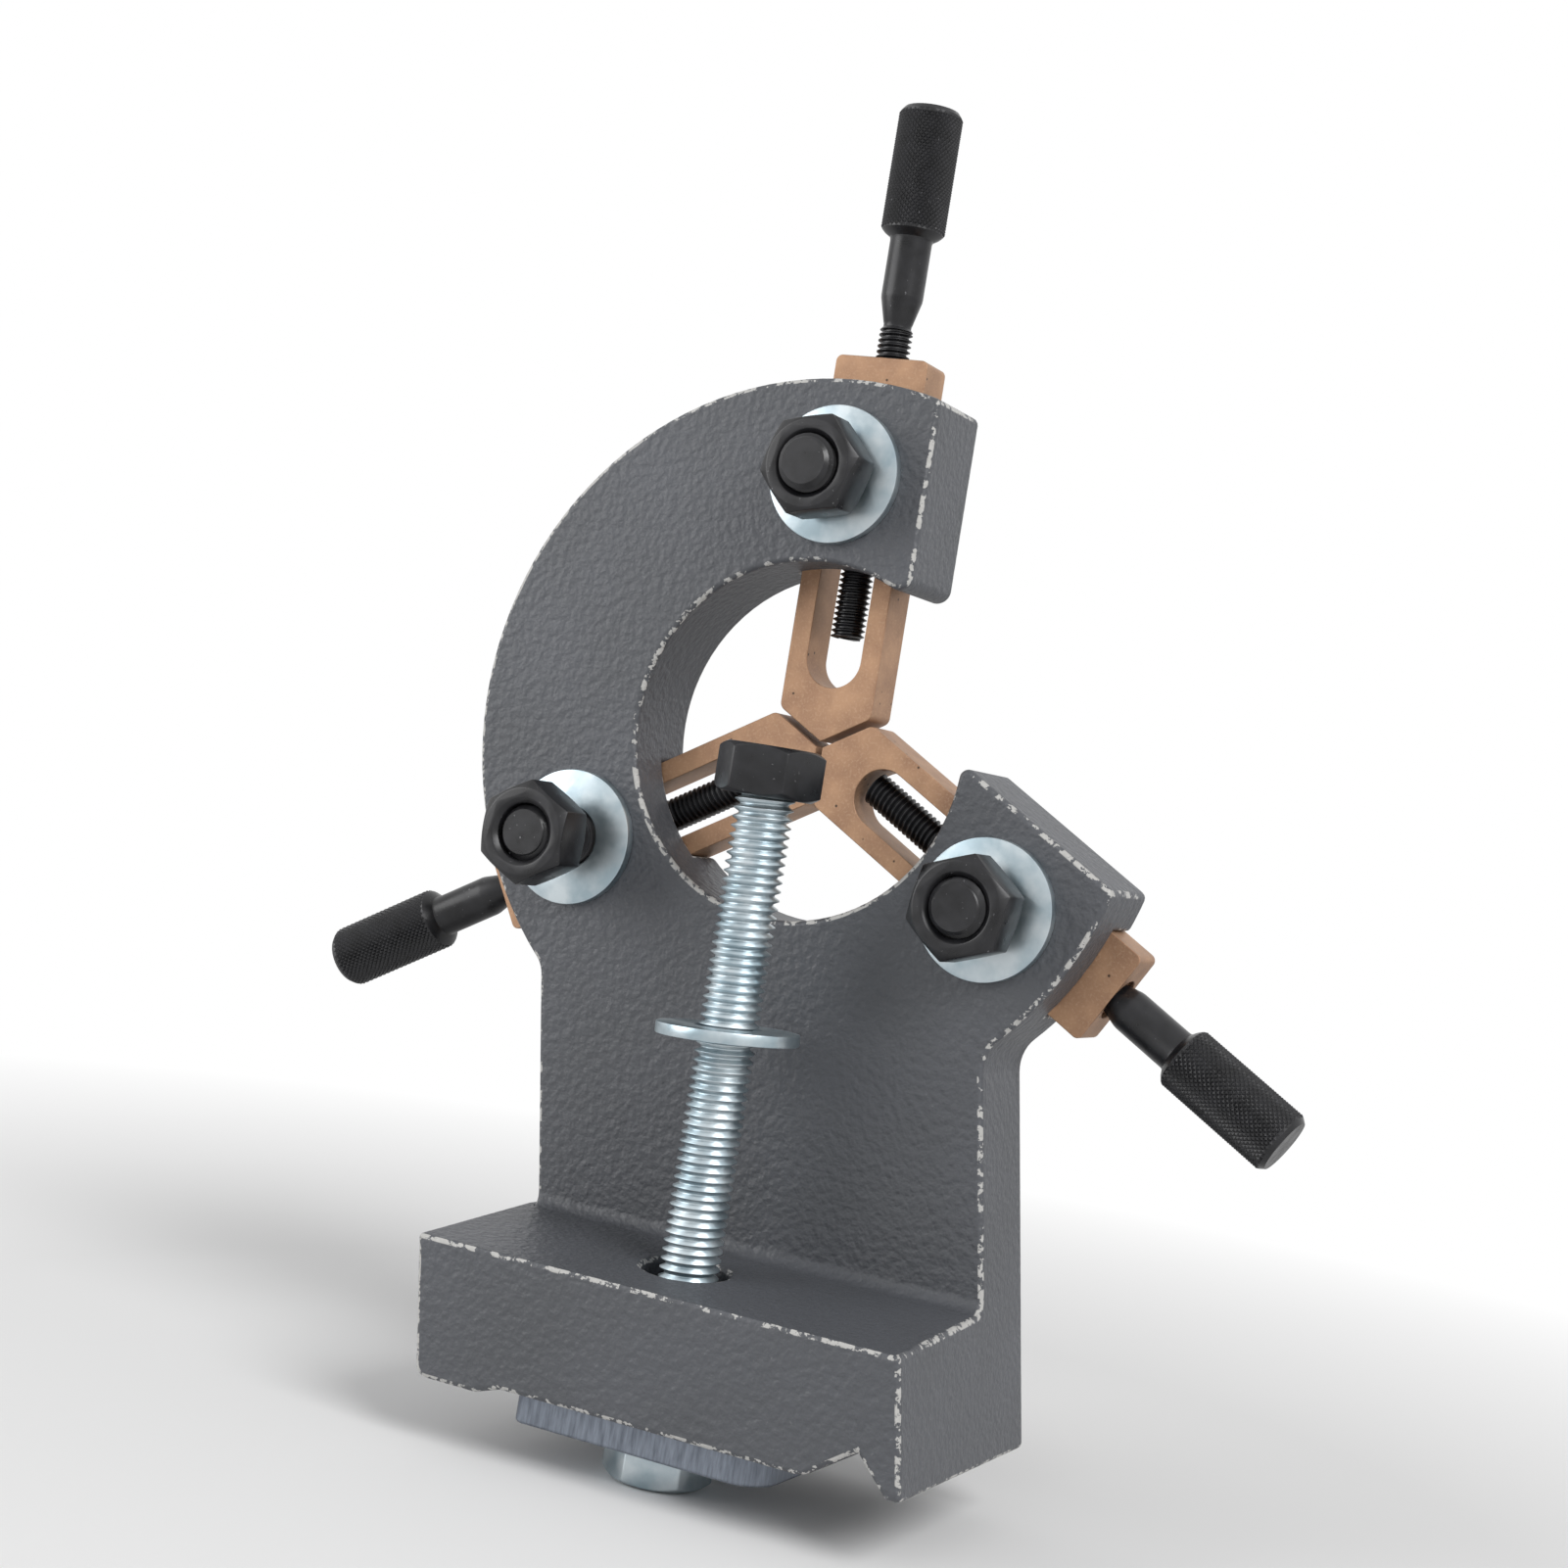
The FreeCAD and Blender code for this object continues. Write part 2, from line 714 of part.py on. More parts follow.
plate_faces = flat_faces(clamp_plate, Z_AXIS, Vector(0, 0, 0))
plate_faces += flat_faces(clamp_plate, -Z_AXIS, Vector(0, 0, -worth("clamp_plate_height")))
dress(clamp_plate, "Chamfer", "PlateEdges", plate_faces, "clamp_plate_edge")
clamp_plate.Placement = on_clamp_axis(0)
nodes += [clamp_bolt, clamp_plate, clamp_washer, clamp_nut]

# ---------------------------------------------------------- check and write out
doc.recompute()
for item in doc.Objects:
    if "Invalid" in item.State or "Error" in item.State:
        raise RuntimeError(f"{item.Label} did not recompute: {item.State}")
os.makedirs("parts", exist_ok=True)
for node in nodes:
    shape = node.Shape
    if shape.isNull() or not shape.isValid() or len(shape.Solids) != 1:
        raise RuntimeError(f"{node.Label} is not one valid solid")
    shape.exportStep(os.path.join("parts", f"{node.Label}.step"))
    box = shape.BoundBox
    print(
        f"{node.Label:22s} {shape.Volume:10.1f} mm3"
        f"  x {box.XMin:7.2f} {box.XMax:7.2f}"
        f"  y {box.YMin:7.2f} {box.YMax:7.2f}"
        f"  z {box.ZMin:7.2f} {box.ZMax:7.2f}"
    )
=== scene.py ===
# %% [markdown]
# # A steady rest for a small lathe
#
# A steady rest holds a long bar still while a lathe turns it. A cast-iron ring stands on a foot,
# three bronze jaws reach in to the bar, each pushed by a knurled screw and held by a lock nut, and
# a long bolt pulls a plate up under the lathe's bed.
#
# The exact solids come from the part's own CAD model. Here each of them gets what a CAD model
# leaves out: rounded and worn edges, threads, knurling and paint. We start by loading the frame of
# imported solids, and we keep its box.

# %% Load the frame
import math

import bmesh
import bpy
from mathutils import Matrix, Vector


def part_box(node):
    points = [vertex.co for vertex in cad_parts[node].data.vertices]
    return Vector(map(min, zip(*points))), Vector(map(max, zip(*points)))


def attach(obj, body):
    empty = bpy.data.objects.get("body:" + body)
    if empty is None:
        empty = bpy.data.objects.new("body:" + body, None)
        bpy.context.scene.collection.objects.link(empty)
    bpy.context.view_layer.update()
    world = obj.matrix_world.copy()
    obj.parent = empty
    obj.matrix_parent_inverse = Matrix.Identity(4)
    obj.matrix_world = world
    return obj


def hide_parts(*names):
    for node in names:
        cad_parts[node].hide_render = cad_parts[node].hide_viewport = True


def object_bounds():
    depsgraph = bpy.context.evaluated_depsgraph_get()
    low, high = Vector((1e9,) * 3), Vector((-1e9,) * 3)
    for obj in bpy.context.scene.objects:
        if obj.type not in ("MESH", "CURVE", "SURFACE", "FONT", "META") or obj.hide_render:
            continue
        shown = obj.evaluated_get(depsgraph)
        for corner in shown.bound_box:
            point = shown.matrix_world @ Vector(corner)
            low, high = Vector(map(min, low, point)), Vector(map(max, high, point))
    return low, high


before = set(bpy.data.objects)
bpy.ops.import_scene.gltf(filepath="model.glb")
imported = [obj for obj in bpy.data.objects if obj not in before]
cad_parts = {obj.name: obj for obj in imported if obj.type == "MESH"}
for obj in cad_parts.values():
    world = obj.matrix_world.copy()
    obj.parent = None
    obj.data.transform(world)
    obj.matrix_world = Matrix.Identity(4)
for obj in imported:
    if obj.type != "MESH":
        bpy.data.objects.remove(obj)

cad_box = [list(corner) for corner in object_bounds()]
print("CAD box in mm:", [[round(1000 * value, 1) for value in corner] for corner in cad_box])

# %% [markdown]
# ## Places that everything hangs on
#
# Blender works in metres and a workshop in millimetres, so one short name turns one into the
# other. The ring's centre is where the three jaws meet, 112 mm over the seat of the foot. The
# jaws and their screws point outwards from it at 0, 120 and 240 degrees from the top.
#
# All other places are read from the CAD solids, by measuring how far each reaches along a line.

# %% Places
MM = 0.001

RING_CENTRE = Vector((0.0, 0.0, 112 * MM))
SIDES = {"top": 0, "right": 120, "left": 240}


def about_ring(angle):
    """The turn that carries the top of the ring to this angle, seen from the front."""
    centre = Matrix.Translation(RING_CENTRE)
    return centre @ Matrix.Rotation(math.radians(angle), 4, "Y") @ centre.inverted()


def reach(node, direction):
    """How far a CAD solid reaches from the ring's centre along a direction: (least, most)."""
    line = Vector(direction).normalized()
    places = [(vertex.co - RING_CENTRE).dot(line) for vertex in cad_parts[node].data.vertices]
    return min(places), max(places)


def middle(node):
    low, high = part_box(node)
    return (Vector(low) + Vector(high)) / 2


jaw_axis = middle("top_jaw").y
lock_circle = reach("top_lock_washer", (0, 0, 1))
lock_radius = (lock_circle[0] + lock_circle[1]) / 2
clamp_axis = middle("clamp_nut")
clamp_axis.z = 0.0
print("jaws and screws are centred on y =", round(jaw_axis / MM, 2), "mm")
print("lock bolts stand on a circle of radius", round(lock_radius / MM, 2), "mm")
print("clamp bolt at x, y =", [round(value / MM, 2) for value in clamp_axis[:2]], "mm")

# %% [markdown]
# ## Choosing what an operator works on
#
# A Blender operator works on whatever is selected, and the loaded CAD solids start out selected.
# So each step first clears the selection and then picks its own object, and inside a mesh the
# faces or edges are picked in code, by where they lie.


# %% Selection helpers
def select_only(*pieces):
    bpy.ops.object.select_all(action="DESELECT")
    for piece in pieces:
        piece.select_set(True)
    bpy.context.view_layer.objects.active = pieces[0]


def in_edit_mode(piece, steps):
    """Runs steps() on the piece in edit mode, and comes back to object mode."""
    select_only(piece)
    bpy.ops.object.mode_set(mode="EDIT")
    steps()
    bpy.ops.object.mode_set(mode="OBJECT")
    return piece


def edit_mesh():
    """The mesh being edited, with its normals brought up to date."""
    mesh = bmesh.from_edit_mesh(bpy.context.object.data)
    mesh.normal_update()
    return mesh


def pick(kind, wanted):
    """Selects the vertices, edges or faces for which wanted(item) is true, and nothing else."""
    bpy.ops.mesh.select_mode(type={"verts": "VERT", "edges": "EDGE", "faces": "FACE"}[kind])
    bpy.ops.mesh.select_all(action="DESELECT")
    mesh = edit_mesh()
    for item in getattr(mesh, kind):
        if wanted(item):
            item.select_set(True)
    mesh.select_flush_mode()
    bmesh.update_edit_mesh(bpy.context.object.data)


def everything_outwards():
    bpy.ops.mesh.select_all(action="SELECT")
    bpy.ops.mesh.remove_doubles(threshold=0.001 * MM)
    bpy.ops.mesh.normals_make_consistent(inside=False)


def middle_height(edge):
    return (edge.verts[0].co.z + edge.verts[1].co.z) / 2


def is_level(edge):
    return abs(edge.verts[0].co.z - edge.verts[1].co.z) < 0.0001 * MM


def is_upright(edge):
    along = edge.verts[0].co - edge.verts[1].co
    return abs(along.z) > 0.999 * along.length


bpy.ops.object.select_all(action="DESELECT")
print("selected now:", len(bpy.context.selected_objects), "objects")

# %% [markdown]
# ## Finishing a piece
#
# A finished piece has its modifiers applied and its place in its mesh, with the object itself at
# the origin, because the patterns in its material are laid out from the object's origin. It rides
# on the body that moves it, and stands for the CAD solid that it replaces.


# %% Finishing helpers
def apply_modifiers(piece):
    select_only(piece)
    for modifier in list(piece.modifiers):
        bpy.ops.object.modifier_apply(modifier=modifier.name)
    return piece


def combined(piece, operation, tool):
    """The piece after an exact boolean with the tool, which is used up."""
    modifier = piece.modifiers.new("Cut", "BOOLEAN")
    modifier.operation = operation
    modifier.solver = "EXACT"
    modifier.object = tool
    apply_modifiers(piece)
    bpy.data.objects.remove(tool, do_unlink=True)
    return piece


def smooth(piece, angle=35):
    select_only(piece)
    bpy.ops.object.shade_smooth_by_angle(angle=math.radians(angle))
    return piece


def joined(name, *pieces):
    select_only(*pieces)
    bpy.ops.object.join()
    pieces[0].name = name
    return pieces[0]


def finish_piece(piece, name, placement, material, body, node):
    """Puts a piece built about Z in its place, and hands it to its body, slot and CAD solid."""
    piece.name = name
    piece.data.name = name
    piece.data.transform(placement)
    piece.data.materials.clear()
    piece.data.materials.append(material)
    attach(piece, body)
    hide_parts(node)
    piece.data.calc_loop_triangles()
    print(f"{name}: {len(piece.data.loop_triangles)} triangles, rides on {body}")
    return piece


def own_copy(piece):
    """A copy of a finished shape with a mesh of its own."""
    twin = piece.copy()
    twin.data = piece.data.copy()
    bpy.context.scene.collection.objects.link(twin)
    return twin


print("a piece ends at the origin, with its place in its mesh")

# %% [markdown]
# ## Colours and nodes
#
# Colours are written as they are read off a screen, in hex, and one function turns them into the
# linear numbers that a renderer works with. One more function adds a node with its settings and
# its links. All patterns are laid out on Object coordinates, in metres, so a noise scale is one
# over the size of its blotches.


# %% Material helpers
def colour(code):
    """A hex colour such as #8a8f96 as linear red, green and blue, with full alpha."""
    parts = [int(code[place : place + 2], 16) / 255 for place in (1, 3, 5)]
    linear = [
        part / 12.92 if part <= 0.04045 else ((part + 0.055) / 1.055) ** 2.4 for part in parts
    ]
    return (*linear, 1.0)


def add(tree, kind, settings, inputs):
    """Adds a node. settings are its own; inputs give each socket a value or a link."""
    node = tree.nodes.new(kind)
    for name, value in settings.items():
        setattr(node, name, value)
    for name, value in inputs.items():
        if isinstance(value, bpy.types.NodeSocket):
            tree.links.new(value, node.inputs[name])
        else:
            node.inputs[name].default_value = value
    return node


def new_material(name):
    """An empty material: the material, its nodes, its shader and its Object coordinates."""
    material = bpy.data.materials.new(name)
    material.use_nodes = True
    tree = material.node_tree
    tree.nodes.clear()
    shader = add(tree, "ShaderNodeBsdfPrincipled", {}, {})
    add(tree, "ShaderNodeOutputMaterial", {}, {"Surface": shader.outputs["BSDF"]})
    place = add(tree, "ShaderNodeTexCoord", {}, {}).outputs["Object"]
    return material, tree, shader, place


NOISE = "ShaderNodeTexNoise"
RANGE = "ShaderNodeMapRange"
MIX = "ShaderNodeMix"
MATHS = "ShaderNodeMath"
BUMP = "ShaderNodeBump"
RGBA = {"data_type": "RGBA"}
print("#808080 is", round(colour("#808080")[0], 3), "in linear light")

# %% [markdown]
# ## The paint on the casting
#
# The frame is grey iron, cast in a sand mould and sprayed with a thick dark grey enamel. The spray
# dries before it levels, which leaves a fine orange peel with a soft gloss. The paint is thinnest
# on sharp edges, so it chips there first and bare bright iron shows.
#
# The edges are marked by an attribute named wear, which is 1 in the middle of a rounded edge and 0
# on the flat beside it. Noise then decides where along the edge the paint has gone.

# %% Casting enamel: colour
casting_enamel, tree, shader, place = new_material("sprayed_grey_enamel_on_cast_iron")

cloud = add(tree, NOISE, {}, {"Vector": place, "Scale": 1 / (25 * MM), "Detail": 3})
cloud_share = add(
    tree, RANGE, {}, {"Value": cloud.outputs["Fac"], "From Min": 0.35, "From Max": 0.7}
)
paint_tone = add(
    tree, MIX, RGBA, {0: cloud_share.outputs[0], 6: colour("#4a4c50"), 7: colour("#505257")}
)
dust = add(
    tree,
    NOISE,
    {},
    {"Vector": place, "Scale": 1 / (1.0 * MM), "Detail": 4, "Roughness": 0.6},
)
dust_share = add(
    tree,
    RANGE,
    {},
    {"Value": dust.outputs["Fac"], "From Min": 0.68, "From Max": 0.76, "To Max": 0.3},
)
dusty = add(
    tree, MIX, RGBA, {0: dust_share.outputs[0], 6: paint_tone.outputs[2], 7: colour("#85878a")}
)
print("a dark grey with paler dust specks about 1 mm across")

# %% Casting enamel: chips on the worn edges
wear = add(tree, "ShaderNodeAttribute", {"attribute_name": "wear"}, {})
chips = add(
    tree,
    NOISE,
    {},
    {"Vector": place, "Scale": 1 / (1.7 * MM), "Detail": 5, "Roughness": 0.65},
)
patches = add(tree, NOISE, {}, {"Vector": place, "Scale": 1 / (14 * MM), "Detail": 2})
thin_paint = add(tree, MATHS, {"operation": "MULTIPLY"}, {0: patches.outputs["Fac"], 1: 0.35})
chip_noise = add(
    tree, MATHS, {"operation": "ADD"}, {0: chips.outputs["Fac"], 1: thin_paint.outputs[0]}
)
chipped = add(
    tree, RANGE, {}, {"Value": chip_noise.outputs[0], "From Min": 0.66, "From Max": 0.72}
)
on_edge = add(
    tree, MATHS, {"operation": "MULTIPLY"}, {0: chipped.outputs[0], 1: wear.outputs["Fac"]}
)
bare = add(tree, RANGE, {}, {"Value": on_edge.outputs[0], "From Min": 0.25, "From Max": 0.55})
coat = add(
    tree, MIX, RGBA, {0: bare.outputs[0], 6: dusty.outputs[2], 7: colour("#b5b4b1")}
)
tree.links.new(coat.outputs[2], shader.inputs["Base Color"])
print("bare iron shows where the chip noise is high on a rounded edge")

# %% Casting enamel: orange peel and gloss
peel = add(tree, NOISE, {}, {"Vector": place, "Scale": 1 / (1.4 * MM), "Detail": 1.5})
fine = add(tree, NOISE, {}, {"Vector": place, "Scale": 1 / (0.5 * MM), "Detail": 2})
gloss = add(
    tree,
    RANGE,
    {},
    {
        "Value": fine.outputs["Fac"],
        "From Min": 0.3,
        "From Max": 0.7,
        "To Min": 0.42,
        "To Max": 0.54,
    },
)
tree.links.new(gloss.outputs[0], shader.inputs["Roughness"])
peel_bump = add(
    tree, BUMP, {}, {"Height": peel.outputs["Fac"], "Strength": 1.0, "Distance": 0.35 * MM}
)
fine_bump = add(
    tree,
    BUMP,
    {},
    {
        "Height": fine.outputs["Fac"],
        "Strength": 1.0,
        "Distance": 0.08 * MM,
        "Normal": peel_bump.outputs["Normal"],
    },
)
tree.links.new(fine_bump.outputs["Normal"], shader.inputs["Normal"])
shader.inputs["IOR"].default_value = 1.5
print("orange peel 1.4 mm from dimple to dimple")

# %% [markdown]
# ## Bronze
#
# The jaws are tin bronze, soft enough not to mark a turning bar. Their faces are milled and then
# tumbled, which leaves a dull pinkish tan with a frosty grain, a few casting pits and darker
# tarnish in patches.

# %% Jaw bronze
jaw_bronze, tree, shader, place = new_material("tumbled_tin_bronze")

cloud = add(tree, NOISE, {}, {"Vector": place, "Scale": 1 / (6 * MM), "Detail": 4})
tarnish = add(tree, RANGE, {}, {"Value": cloud.outputs["Fac"], "From Min": 0.3, "From Max": 0.65})
tone = add(
    tree, MIX, RGBA, {0: tarnish.outputs[0], 6: colour("#94725a"), 7: colour("#b08b6d")}
)
frost = add(tree, NOISE, {}, {"Vector": place, "Scale": 1 / (0.5 * MM), "Detail": 3})
frost_share = add(
    tree,
    RANGE,
    {},
    {"Value": frost.outputs["Fac"], "From Min": 0.5, "From Max": 0.75, "To Max": 0.45},
)
frosted = add(
    tree, MIX, RGBA, {0: frost_share.outputs[0], 6: tone.outputs[2], 7: colour("#c9aa8e")}
)
pits = add(tree, "ShaderNodeTexVoronoi", {}, {"Vector": place, "Scale": 1 / (4 * MM)})
pit = add(
    tree,
    RANGE,
    {},
    {
        "Value": pits.outputs["Distance"],
        "From Min": 0.04,
        "From Max": 0.08,
        "To Min": 1,
        "To Max": 0,
    },
)
pitted = add(tree, MIX, RGBA, {0: pit.outputs[0], 6: frosted.outputs[2], 7: colour("#4a3a30")})
tree.links.new(pitted.outputs[2], shader.inputs["Base Color"])
shader.inputs["Metallic"].default_value = 0.5
dull = add(
    tree,
    RANGE,
    {},
    {
        "Value": frost.outputs["Fac"],
        "From Min": 0.3,
        "From Max": 0.7,
        "To Min": 0.42,
        "To Max": 0.6,
    },
)
tree.links.new(dull.outputs[0], shader.inputs["Roughness"])
grain = add(
    tree, BUMP, {}, {"Height": frost.outputs["Fac"], "Strength": 1.0, "Distance": 0.02 * MM}
)
tree.links.new(grain.outputs["Normal"], shader.inputs["Normal"])
print("made", jaw_bronze.name)

# %% [markdown]
# ## Black oxide
#
# Screws, lock bolts and nuts are steel, boiled in a salt bath that turns the skin to black
# magnetite and then oiled. It keeps the steel's shine: nearly black, with clear highlights and a
# few grey flecks.

# %% Blackened steel
black_oxide, tree, shader, place = new_material("oiled_black_oxide_steel")

cloud = add(tree, NOISE, {}, {"Vector": place, "Scale": 1 / (3 * MM), "Detail": 4})
patchy = add(tree, RANGE, {}, {"Value": cloud.outputs["Fac"], "From Min": 0.35, "From Max": 0.7})
tone = add(
    tree, MIX, RGBA, {0: patchy.outputs[0], 6: colour("#161618"), 7: colour("#222225")}
)
fleck_noise = add(tree, NOISE, {}, {"Vector": place, "Scale": 1 / (0.6 * MM), "Detail": 3})
fleck = add(
    tree,
    RANGE,
    {},
    {"Value": fleck_noise.outputs["Fac"], "From Min": 0.70, "From Max": 0.76, "To Max": 0.7},
)
flecked = add(tree, MIX, RGBA, {0: fleck.outputs[0], 6: tone.outputs[2], 7: colour("#7b7b7e")})
tree.links.new(flecked.outputs[2], shader.inputs["Base Color"])
shader.inputs["Metallic"].default_value = 0.2
sheen = add(
    tree,
    RANGE,
    {},
    {
        "Value": cloud.outputs["Fac"],
        "From Min": 0.3,
        "From Max": 0.7,
        "To Min": 0.26,
        "To Max": 0.4,
    },
)
tree.links.new(sheen.outputs[0], shader.inputs["Roughness"])
scale_bump = add(
    tree, BUMP, {}, {"Height": fleck_noise.outputs["Fac"], "Strength": 1.0, "Distance": 0.008 * MM}
)
tree.links.new(scale_bump.outputs["Normal"], shader.inputs["Normal"])
print("made", black_oxide.name)

# %% [markdown]
# ## Bright zinc
#
# The washers and the long clamp bolt are electroplated with zinc and dipped in clear passivate: a
# pale, slightly blue metal with a satin face. The plating is a little cloudy and lightly scuffed.

# %% Zinc plate
zinc_plate, tree, shader, place = new_material("clear_passivated_zinc_plate")

cloud = add(tree, NOISE, {}, {"Vector": place, "Scale": 1 / (5 * MM), "Detail": 5})
cloudy = add(tree, RANGE, {}, {"Value": cloud.outputs["Fac"], "From Min": 0.35, "From Max": 0.65})
tone = add(
    tree, MIX, RGBA, {0: cloudy.outputs[0], 6: colour("#9fb0b8"), 7: colour("#c6cfd3")}
)
tree.links.new(tone.outputs[2], shader.inputs["Base Color"])
shader.inputs["Metallic"].default_value = 0.9
satin = add(
    tree,
    RANGE,
    {},
    {
        "Value": cloud.outputs["Fac"],
        "From Min": 0.3,
        "From Max": 0.7,
        "To Min": 0.28,
        "To Max": 0.42,
    },
)
tree.links.new(satin.outputs[0], shader.inputs["Roughness"])
scuffs = add(tree, NOISE, {}, {"Vector": place, "Scale": 1 / (0.6 * MM), "Detail": 4})
scuffed = add(
    tree, BUMP, {}, {"Height": scuffs.outputs["Fac"], "Strength": 1.0, "Distance": 0.008 * MM}
)
tree.links.new(scuffed.outputs["Normal"], shader.inputs["Normal"])
print("made", zinc_plate.name)

# %% [markdown]
# ## Milled steel
#
# The clamp plate is sawn and milled bar. The cutter leaves fine upright lines on its edges, and
# the colour is a cool blue grey.

# %% Milled plate
milled_steel, tree, shader, place = new_material("milled_mild_steel")

stretched = add(tree, "ShaderNodeMapping", {}, {"Vector": place, "Scale": (1.0, 1.0, 0.12)})
lines = add(
    tree,
    NOISE,
    {},
    {"Vector": stretched.outputs["Vector"], "Scale": 1 / (0.6 * MM), "Detail": 4, "Roughness": 0.6},
)
lined = add(tree, RANGE, {}, {"Value": lines.outputs["Fac"], "From Min": 0.3, "From Max": 0.7})
tone = add(tree, MIX, RGBA, {0: lined.outputs[0], 6: colour("#666c76"), 7: colour("#8b929d")})
tree.links.new(tone.outputs[2], shader.inputs["Base Color"])
shader.inputs["Metallic"].default_value = 0.8
brushed = add(
    tree,
    RANGE,
    {},
    {
        "Value": lines.outputs["Fac"],
        "From Min": 0.3,
        "From Max": 0.7,
        "To Min": 0.34,
        "To Max": 0.5,
    },
)
tree.links.new(brushed.outputs[0], shader.inputs["Roughness"])
line_bump = add(
    tree, BUMP, {}, {"Height": lines.outputs["Fac"], "Strength": 1.0, "Distance": 0.02 * MM}
)
tree.links.new(line_bump.outputs["Normal"], shader.inputs["Normal"])
print("made", milled_steel.name)

# %% [markdown]
# ## The casting
#
# The casting's form is already right in the CAD solid, so a copy of it is dressed instead of being
# modelled again. Its loose triangles are joined up and its flat faces made whole, and then every
# sharp outward edge is rounded by 1 mm, because sand and paint leave no edge sharper than that.
# A Weighted Normal modifier keeps the large flat faces flat where they meet the rounds.
#
# The bevel can put its new faces in a second material slot. That tells which vertices lie on the
# round of an edge, with such faces all round them, and they get the attribute wear, for the paint
# to read.


# %% A rounded copy of a CAD solid
ROUND_SLOT = 1
CASTING_ROUND = 1.0
AS_MODELLED = Matrix.Identity(4)


def outward_angle(edge):
    """How sharply two faces turn away from each other, in degrees; 0 in a hollow corner."""
    if len(edge.link_faces) != 2:
        return 0.0
    return math.degrees(edge.calc_face_angle_signed(0.0))


def rounded_copy(node, width, segments, sharp=30):
    """A copy of a CAD solid with its sharp outward edges rounded, by a width in mm."""
    bpy.ops.object.select_all(action="DESELECT")
    piece = bpy.data.objects.new(node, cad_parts[node].data.copy())
    bpy.context.scene.collection.objects.link(piece)
    piece.data.materials.append(casting_enamel)

    def steps():
        bpy.ops.mesh.select_all(action="SELECT")
        bpy.ops.mesh.remove_doubles(threshold=0.002 * MM)
        bpy.ops.mesh.dissolve_limited(angle_limit=math.radians(0.5))
        pick("edges", lambda edge: outward_angle(edge) > sharp)
        bpy.ops.mesh.bevel(
            offset=width * MM, segments=segments, clamp_overlap=False, material=ROUND_SLOT
        )
        mesh = edit_mesh()
        layer = mesh.verts.layers.float.new("wear")
        for vertex in mesh.verts:
            rounds_only = [face.material_index == ROUND_SLOT for face in vertex.link_faces]
            vertex[layer] = float(all(rounds_only))
        bmesh.update_edit_mesh(bpy.context.object.data)

    in_edit_mode(piece, steps)
    flat_faces = piece.modifiers.new("FlatFaces", "WEIGHTED_NORMAL")
    flat_faces.keep_sharp = True
    flat_faces.weight = 80
    smooth(piece, 40)
    return apply_modifiers(piece)


finish_piece(
    rounded_copy("frame_casting", CASTING_ROUND, 3),
    "painted_casting",
    AS_MODELLED,
    casting_enamel,
    "frame",
    "frame_casting",
)

# %% [markdown]
# ## The jaws and the clamp plate
#
# The jaws and the plate that goes under the bed are milled, so their edges are crisper. They get
# just enough of a rounding to catch the light.

# %% Jaws and clamp plate
JAW_ROUND = 0.2
PLATE_ROUND = 0.15

for side in SIDES:
    finish_piece(
        rounded_copy(f"{side}_jaw", JAW_ROUND, 2),
        f"{side}_bronze_jaw",
        AS_MODELLED,
        jaw_bronze,
        f"{side}_jaw",
        f"{side}_jaw",
    )
finish_piece(
    rounded_copy("clamp_plate", PLATE_ROUND, 2),
    "bed_plate",
    AS_MODELLED,
    milled_steel,
    "clamp_plate",
    "clamp_plate",
)

# %% [markdown]
# ## Turned shapes
#
# Washers, shanks and the chamfers on a hexagon are all turned on a lathe. Here too they are made
# as on one: a filled circle is pulled up along its axis in steps, and widened or narrowed at each
# step. The same shapes serve as tools, to cut a bore or to trim the corners of a nut.


# %% A turned solid
def turned(stations, sides=64):
    """A solid turned about Z. stations are (radius, height) pairs in mm, from end to end."""
    radius, height = stations[0]
    bpy.ops.object.select_all(action="DESELECT")
    bpy.ops.mesh.primitive_circle_add(
        vertices=sides, radius=radius * MM, fill_type="NGON", location=(0, 0, height * MM)
    )
    bpy.ops.object.transform_apply(location=True, rotation=True, scale=True)
    piece = bpy.context.object

    def steps():
        here, level = radius, height
        bpy.ops.mesh.select_all(action="SELECT")
        for new_radius, new_level in stations[1:]:
            bpy.ops.mesh.extrude_region_move(
                TRANSFORM_OT_translate={"value": (0, 0, (new_level - level) * MM)}
            )
            share = new_radius / here
            bpy.ops.transform.resize(
                value=(share, share, 1), center_override=(0, 0, new_level * MM)
            )
            here, level = new_radius, new_level
        everything_outwards()

    return in_edit_mode(piece, steps)


trial = turned([(12, 0), (12, 2)])
print("a turned disc has", len(trial.data.polygons), "faces")
bpy.data.objects.remove(trial, do_unlink=True)

# %% [markdown]
# ## Washers
#
# A washer is punched from sheet, which rounds its edges a little, then plated. It is a turned disc
# with its bore cut out, and one washer is copied to all four places. The one on the clamp bolt
# hangs a little askew, so its tilt is worked out from the CAD solid's box.

# %% Washers
WASHER_DIAMETER = 24
WASHER_HEIGHT = 2

washer = turned([(11.75, 0), (11.93, 0.07), (12, 0.25), (12, 1.75), (11.93, 1.93), (11.75, 2)], 96)
bore = turned([(5.6, -1), (5.6, 0), (5.35, 0.25), (5.35, 1.75), (5.6, 2), (5.6, 3)], 96)
smooth(combined(washer, "DIFFERENCE", bore))

facing_front = Matrix.Rotation(math.radians(90), 4, "X")


def on_lock_circle(side, level):
    """The place of a part that points to the front, on this side's lock bolt."""
    seat = Matrix.Translation(RING_CENTRE + Vector((0, level, lock_radius)))
    return about_ring(SIDES[side]) @ seat @ facing_front


